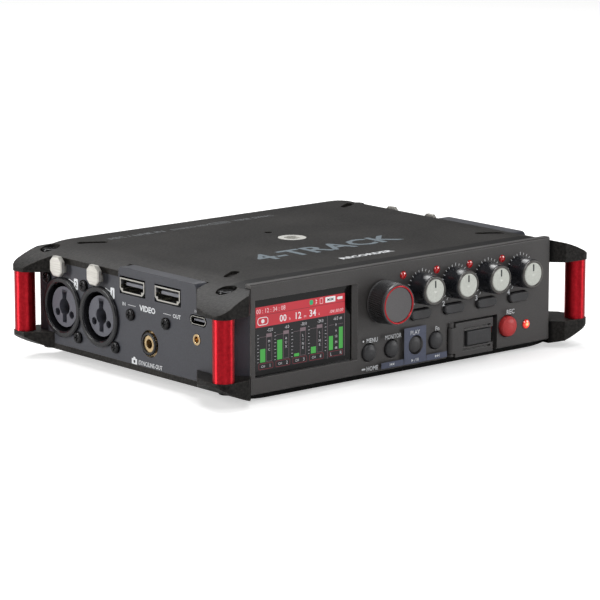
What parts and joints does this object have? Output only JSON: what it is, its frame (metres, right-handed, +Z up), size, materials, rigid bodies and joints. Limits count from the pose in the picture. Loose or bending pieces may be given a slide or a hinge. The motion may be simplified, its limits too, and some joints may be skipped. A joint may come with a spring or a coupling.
{
  "type": "portable field recorder",
  "caption": "Low rectangular audio recorder with protruding corner ears joined by red pillars, front screen, jog dial, gain knobs, keys, card door and combo input sockets on its sides.",
  "frame": {"origin": "centre of the bounding box in plan, at the plane the feet stand on", "axes": "+X to the right along the front panel, front panel faces -Y, +Z up"},
  "size_m": [0.1882, 0.1352, 0.0445],
  "materials": {
    "shell_black": "fine textured matt paint",
    "panel_grey": "satin paint",
    "bezel_grey": "satin",
    "red_anodised": "polished anodised red",
    "black_steel": "black oxide",
    "clear_window": "clear, glossy",
    "screen": "lit display",
    "board_green": "solder mask",
    "tray_plastic": "moulded",
    "cell_wrap": "printed sleeve",
    "bright_metal": "plated",
    "rubber_black": "matt",
    "jack_black": "glossy",
    "jack_core_grey": "satin",
    "satin_nickel": "brushed",
    "brass": "turned",
    "knob_black": "soft satin",
    "cap_white": "satin",
    "dial_grey": "knurled satin",
    "ring_red": "glossy",
    "button_grey": "satin",
    "record_red": "matt",
    "lens_red": "translucent glossy",
    "connector_black": "moulded",
    "card_blue": "printed label"
  },
  "bodies": {
    "recorder": {"top_shell": "shell_black", "bottom_shell": "shell_black", "front_bezel": "bezel_grey", "left_panel": "panel_grey", "right_panel": "panel_grey", "rear_panel": "panel_grey", "corner_pillars": "red_anodised", "ear_screws": "black_steel", "panel_screws": "black_steel", "display_lens": "clear_window", "lcd_module": "screen", "main_board": "board_green", "control_board": "board_green", "battery_tray": "tray_plastic", "batteries": "cell_wrap", "tripod_sockets": "bright_metal", "feet": "rubber_black", "jack_housings": "jack_black", "jack_cores": "jack_core_grey", "hdmi_sockets": "bright_metal", "port_tongues": "connector_black", "mini_jacks": "brass", "usb_c_socket": "bright_metal", "cable_lock_insert": "brass", "gain_pots": "satin_nickel", "dial_encoder": "satin_nickel", "indicator_lenses": "lens_red", "card_socket": "satin_nickel", "memory_card": "card_blue", "side_control_bodies": "connector_black"},
    "gain_1": {"gain_knob_1": "knob_black", "gain_cap_1": "cap_white"},
    "input_1": {"input_button_1": "button_grey"},
    "gain_2": {"gain_knob_2": "knob_black", "gain_cap_2": "cap_white"},
    "input_2": {"input_button_2": "button_grey"},
    "gain_3": {"gain_knob_3": "knob_black", "gain_cap_3": "cap_white"},
    "input_3": {"input_button_3": "button_grey"},
    "gain_4": {"gain_knob_4": "knob_black", "gain_cap_4": "cap_white"},
    "input_4": {"input_button_4": "button_grey"},
    "dial_core": {"dial_shaft": "satin_nickel"},
    "dial": {"dial_knob": "dial_grey", "dial_ring": "ring_red"},
    "menu": {"menu_button": "button_grey"},
    "monitor": {"monitor_button": "button_grey"},
    "play": {"play_button": "button_grey"},
    "fn": {"fn_button": "button_grey"},
    "record": {"record_button": "record_red"},
    "card_flap": {"card_door": "bezel_grey"},
    "card_catch": {"card_door_latch": "button_grey"},
    "release_1": {"release_tab_1": "satin_nickel"},
    "release_2": {"release_tab_2": "satin_nickel"},
    "release_3": {"release_tab_3": "satin_nickel"},
    "release_4": {"release_tab_4": "satin_nickel"},
    "battery_flap": {"battery_door": "panel_grey"},
    "battery_catch": {"battery_door_latch": "button_grey"},
    "power": {"power_switch": "button_grey"},
    "headphone": {"headphone_knob": "knob_black"}
  },
  "joints": [
    {"name": "gain_1_turn", "type": "hinge", "parent": "recorder", "child": "gain_1", "pos_m": [0.0071, -0.063, 0.033], "axis": [0, 1, 0], "range_deg": [-145, 145]},
    {"name": "input_1_press", "type": "slide", "parent": "recorder", "child": "input_1", "axis": [0, 1, 0], "range_m": [0, 0.0008], "stiffness_N_per_m": 300, "springref_m": -0.0005},
    {"name": "gain_2_turn", "type": "hinge", "parent": "recorder", "child": "gain_2", "pos_m": [0.0243, -0.063, 0.033], "axis": [0, 1, 0], "range_deg": [-145, 145]},
    {"name": "input_2_press", "type": "slide", "parent": "recorder", "child": "input_2", "axis": [0, 1, 0], "range_m": [0, 0.0008], "stiffness_N_per_m": 300, "springref_m": -0.0005},
    {"name": "gain_3_turn", "type": "hinge", "parent": "recorder", "child": "gain_3", "pos_m": [0.0415, -0.063, 0.033], "axis": [0, 1, 0], "range_deg": [-145, 145]},
    {"name": "input_3_press", "type": "slide", "parent": "recorder", "child": "input_3", "axis": [0, 1, 0], "range_m": [0, 0.0008], "stiffness_N_per_m": 300, "springref_m": -0.0005},
    {"name": "gain_4_turn", "type": "hinge", "parent": "recorder", "child": "gain_4", "pos_m": [0.0587, -0.063, 0.033], "axis": [0, 1, 0], "range_deg": [-145, 145]},
    {"name": "input_4_press", "type": "slide", "parent": "recorder", "child": "input_4", "axis": [0, 1, 0], "range_m": [0, 0.0008], "stiffness_N_per_m": 300, "springref_m": -0.0005},
    {"name": "dial_press", "type": "slide", "parent": "recorder", "child": "dial_core", "axis": [0, 1, 0], "range_m": [0, 0.0005], "stiffness_N_per_m": 400, "springref_m": -0.0005},
    {"name": "dial_turn", "type": "hinge", "parent": "dial_core", "child": "dial", "pos_m": [-0.0121, -0.063, 0.0303], "axis": [0, 1, 0], "continuous": true},
    {"name": "menu_press", "type": "slide", "parent": "recorder", "child": "menu", "axis": [0, 1, 0], "range_m": [0, 0.0008], "stiffness_N_per_m": 300, "springref_m": -0.0005},
    {"name": "monitor_press", "type": "slide", "parent": "recorder", "child": "monitor", "axis": [0, 1, 0], "range_m": [0, 0.0008], "stiffness_N_per_m": 300, "springref_m": -0.0005},
    {"name": "play_press", "type": "slide", "parent": "recorder", "child": "play", "axis": [0, 1, 0], "range_m": [0, 0.0008], "stiffness_N_per_m": 300, "springref_m": -0.0005},
    {"name": "fn_press", "type": "slide", "parent": "recorder", "child": "fn", "axis": [0, 1, 0], "range_m": [0, 0.0008], "stiffness_N_per_m": 300, "springref_m": -0.0005},
    {"name": "record_press", "type": "slide", "parent": "recorder", "child": "record", "axis": [0, 1, 0], "range_m": [0, 0.0008], "stiffness_N_per_m": 300, "springref_m": -0.0005},
    {"name": "card_door_swing", "type": "hinge", "parent": "recorder", "child": "card_flap", "pos_m": [0.0231, -0.0582, 0.0102], "axis": [0, 0, -1], "range_deg": [0, 100]},
    {"name": "card_catch_slide", "type": "slide", "parent": "card_flap", "child": "card_catch", "axis": [-1, 0, 0], "range_m": [0, 0.0015]},
    {"name": "release_1_press", "type": "slide", "parent": "recorder", "child": "release_1", "axis": [1, 0, 0], "range_m": [0, 0.0014], "stiffness_N_per_m": 400, "springref_m": -0.0005},
    {"name": "release_2_press", "type": "slide", "parent": "recorder", "child": "release_2", "axis": [1, 0, 0], "range_m": [0, 0.0014], "stiffness_N_per_m": 400, "springref_m": -0.0005},
    {"name": "release_3_press", "type": "slide", "parent": "recorder", "child": "release_3", "axis": [-1, 0, 0], "range_m": [0, 0.0014], "stiffness_N_per_m": 400, "springref_m": -0.0005},
    {"name": "release_4_press", "type": "slide", "parent": "recorder", "child": "release_4", "axis": [-1, 0, 0], "range_m": [0, 0.0014], "stiffness_N_per_m": 400, "springref_m": -0.0005},
    {"name": "battery_door_swing", "type": "hinge", "parent": "recorder", "child": "battery_flap", "pos_m": [0, 0.0619, 0.0112], "axis": [-1, 0, 0], "range_deg": [0, 95]},
    {"name": "battery_catch_slide", "type": "slide", "parent": "battery_flap", "child": "battery_catch", "axis": [0, 0, -1], "range_m": [0, 0.0015]},
    {"name": "power_slide", "type": "slide", "parent": "recorder", "child": "power", "axis": [0, 1, 0], "range_m": [-0.002, 0.002]},
    {"name": "headphone_turn", "type": "hinge", "parent": "recorder", "child": "headphone", "pos_m": [0.087, -0.036, 0.026], "axis": [1, 0, 0], "range_deg": [-140, 140]}
  ]
}
